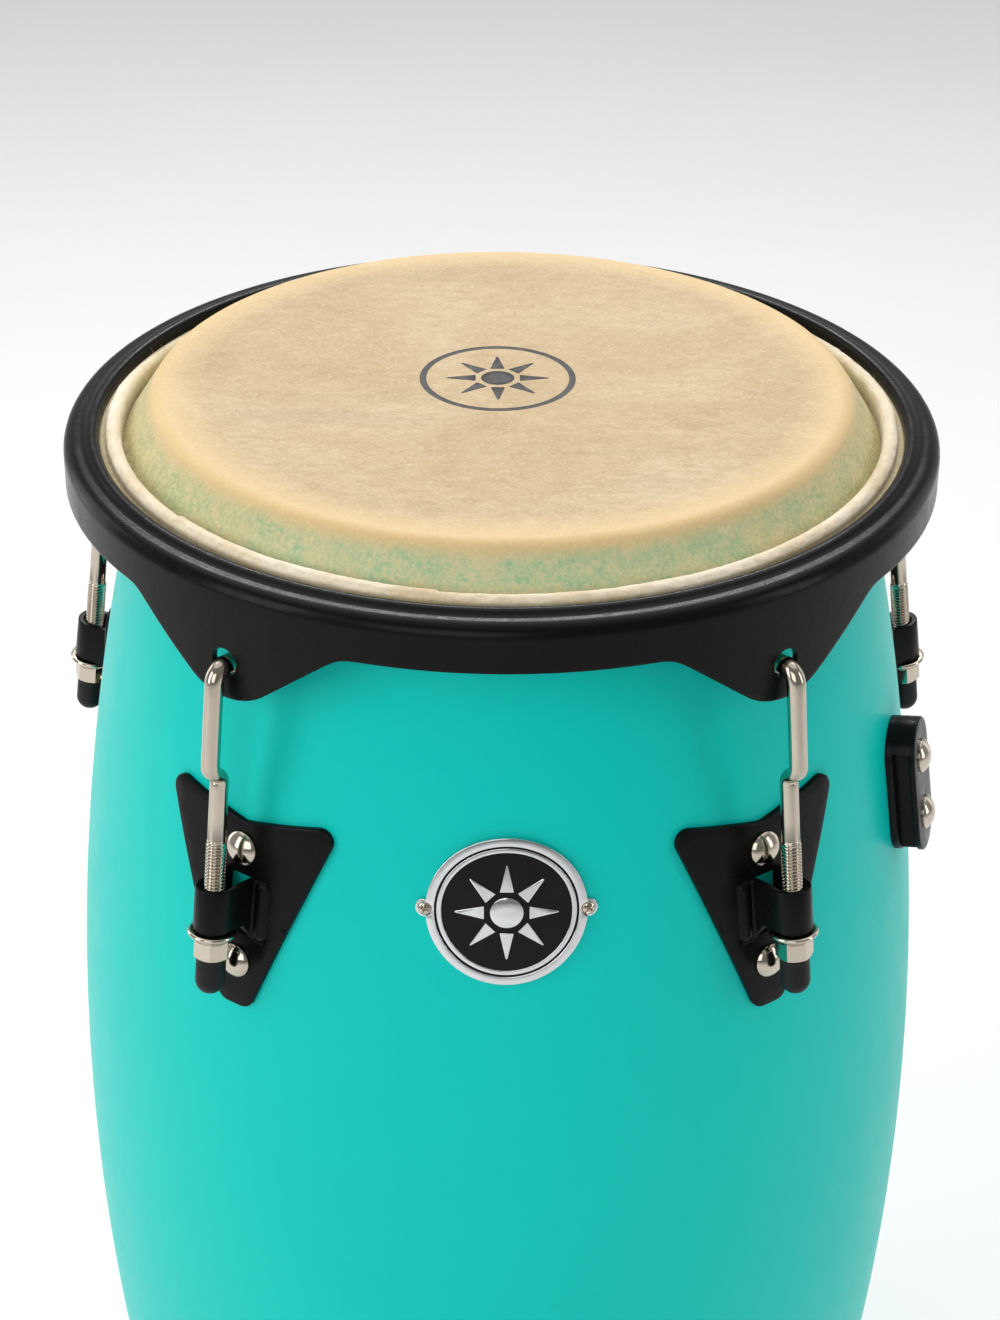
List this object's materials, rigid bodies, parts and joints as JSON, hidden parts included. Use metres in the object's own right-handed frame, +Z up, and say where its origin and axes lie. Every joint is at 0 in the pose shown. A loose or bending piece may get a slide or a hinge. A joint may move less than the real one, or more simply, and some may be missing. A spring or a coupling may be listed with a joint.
{
  "type": "conga drum",
  "caption": "Barrel-shaped hand drum with a rawhide head, a curved counterhoop and hooked tuning lugs that draw it down on the shell.",
  "frame": {"origin": "on the floor, on the drum's own axis, at the centre of the open base", "axes": "+Z up the drum's axis to the playing surface; the badge faces -Y; +X is to the right of a person who looks at the badge"},
  "size_m": [0.3754, 0.3778, 0.711],
  "materials": {
    "shell_paint": "satin seafoam lacquer over a stave-built wood shell",
    "inside_wood": "bare sanded wood",
    "black_rubber": "matte moulded rubber",
    "plate_coat": "satin black powder coat",
    "rim_coat": "satin black powder coat",
    "bracket_black": "semi-gloss black paint",
    "nickel": "bright nickel plate",
    "zinc_steel": "dull zinc plate",
    "badge_chrome": "polished chrome",
    "badge_enamel": "black enamel",
    "rawhide": "dry rawhide, matte, mottled",
    "rawhide_edge": "raw cut hide, fuzzy"
  },
  "bodies": {
    "shell_body": {"shell": "shell_paint", "top_reinforcing_ring": "inside_wood", "bottom_reinforcing_ring": "inside_wood", "base_rubber_ring": "black_rubber", "side_plate_1": "plate_coat", "side_plate_2": "plate_coat", "side_plate_3": "plate_coat", "side_plate_4": "plate_coat", "side_plate_5": "plate_coat", "backing_plate_1": "zinc_steel", "backing_plate_2": "zinc_steel", "backing_plate_3": "zinc_steel", "backing_plate_4": "zinc_steel", "backing_plate_5": "zinc_steel", "side_plate_bolts": "nickel", "side_plate_washers": "zinc_steel", "side_plate_nuts": "zinc_steel", "stand_bracket": "bracket_black", "bracket_backing_plate": "zinc_steel", "bracket_bolts": "nickel", "bracket_nuts": "zinc_steel", "badge_ring": "badge_chrome", "badge_field": "badge_enamel", "badge_emblem": "badge_chrome", "badge_screws": "nickel", "head_membrane": "rawhide"},
    "tuning_hoop": {"rim": "rim_coat", "flesh_hoop": "zinc_steel", "head_fold": "rawhide_edge", "head_collar": "rawhide"},
    "lug_body_1": {"lug_1": "nickel"},
    "nut_body_1": {"nut_1": "nickel", "nut_cap_1": "black_rubber"},
    "lug_body_2": {"lug_2": "nickel"},
    "nut_body_2": {"nut_2": "nickel", "nut_cap_2": "black_rubber"},
    "lug_body_3": {"lug_3": "nickel"},
    "nut_body_3": {"nut_3": "nickel", "nut_cap_3": "black_rubber"},
    "lug_body_4": {"lug_4": "nickel"},
    "nut_body_4": {"nut_4": "nickel", "nut_cap_4": "black_rubber"},
    "lug_body_5": {"lug_5": "nickel"},
    "nut_body_5": {"nut_5": "nickel", "nut_cap_5": "black_rubber"}
  },
  "joints": [
    {"name": "rim_tune", "type": "slide", "parent": "shell_body", "child": "tuning_hoop", "axis": [0, 0, 1], "range_m": [-0.004, 0.004], "deforming": ["head_collar"]},
    {"name": "lug_1_draw", "type": "slide", "parent": "shell_body", "child": "lug_body_1", "axis": [0.0737, 0.1014, 0.9921], "range_m": [-0.00405, 0.00405]},
    {"name": "nut_1_turn", "type": "hinge", "parent": "shell_body", "child": "nut_body_1", "pos_m": [-0.11027, -0.15177, 0.5495], "axis": [0.0737, 0.1014, 0.9921], "range_deg": [-1020, 1020]},
    {"name": "lug_2_draw", "type": "slide", "parent": "shell_body", "child": "lug_body_2", "axis": [-0.0737, 0.1014, 0.9921], "range_m": [-0.00405, 0.00405]},
    {"name": "nut_2_turn", "type": "hinge", "parent": "shell_body", "child": "nut_body_2", "pos_m": [0.11027, -0.15177, 0.5495], "axis": [-0.0737, 0.1014, 0.9921], "range_deg": [-1020, 1020]},
    {"name": "lug_3_draw", "type": "slide", "parent": "shell_body", "child": "lug_body_3", "axis": [-0.1192, -0.0387, 0.9921], "range_m": [-0.00405, 0.00405]},
    {"name": "nut_3_turn", "type": "hinge", "parent": "shell_body", "child": "nut_body_3", "pos_m": [0.17842, 0.05797, 0.5495], "axis": [-0.1192, -0.0387, 0.9921], "range_deg": [-1020, 1020]},
    {"name": "lug_4_draw", "type": "slide", "parent": "shell_body", "child": "lug_body_4", "axis": [0, -0.1253, 0.9921], "range_m": [-0.00405, 0.00405]},
    {"name": "nut_4_turn", "type": "hinge", "parent": "shell_body", "child": "nut_body_4", "pos_m": [0, 0.1876, 0.5495], "axis": [0, -0.1253, 0.9921], "range_deg": [-1020, 1020]},
    {"name": "lug_5_draw", "type": "slide", "parent": "shell_body", "child": "lug_body_5", "axis": [0.1192, -0.0387, 0.9921], "range_m": [-0.00405, 0.00405]},
    {"name": "nut_5_turn", "type": "hinge", "parent": "shell_body", "child": "nut_body_5", "pos_m": [-0.17842, 0.05797, 0.5495], "axis": [0.1192, -0.0387, 0.9921], "range_deg": [-1020, 1020]}
  ],
  "couplings": [
    {"joint": "lug_1_draw", "follows": "rim_tune", "ratio": 0.99211},
    {"joint": "nut_1_turn", "follows": "rim_tune", "rad_per_m": -4417.5},
    {"joint": "lug_2_draw", "follows": "rim_tune", "ratio": 0.99211},
    {"joint": "nut_2_turn", "follows": "rim_tune", "rad_per_m": -4417.5},
    {"joint": "lug_3_draw", "follows": "rim_tune", "ratio": 0.99211},
    {"joint": "nut_3_turn", "follows": "rim_tune", "rad_per_m": -4417.5},
    {"joint": "lug_4_draw", "follows": "rim_tune", "ratio": 0.99211},
    {"joint": "nut_4_turn", "follows": "rim_tune", "rad_per_m": -4417.5},
    {"joint": "lug_5_draw", "follows": "rim_tune", "ratio": 0.99211},
    {"joint": "nut_5_turn", "follows": "rim_tune", "rad_per_m": -4417.5}
  ]
}
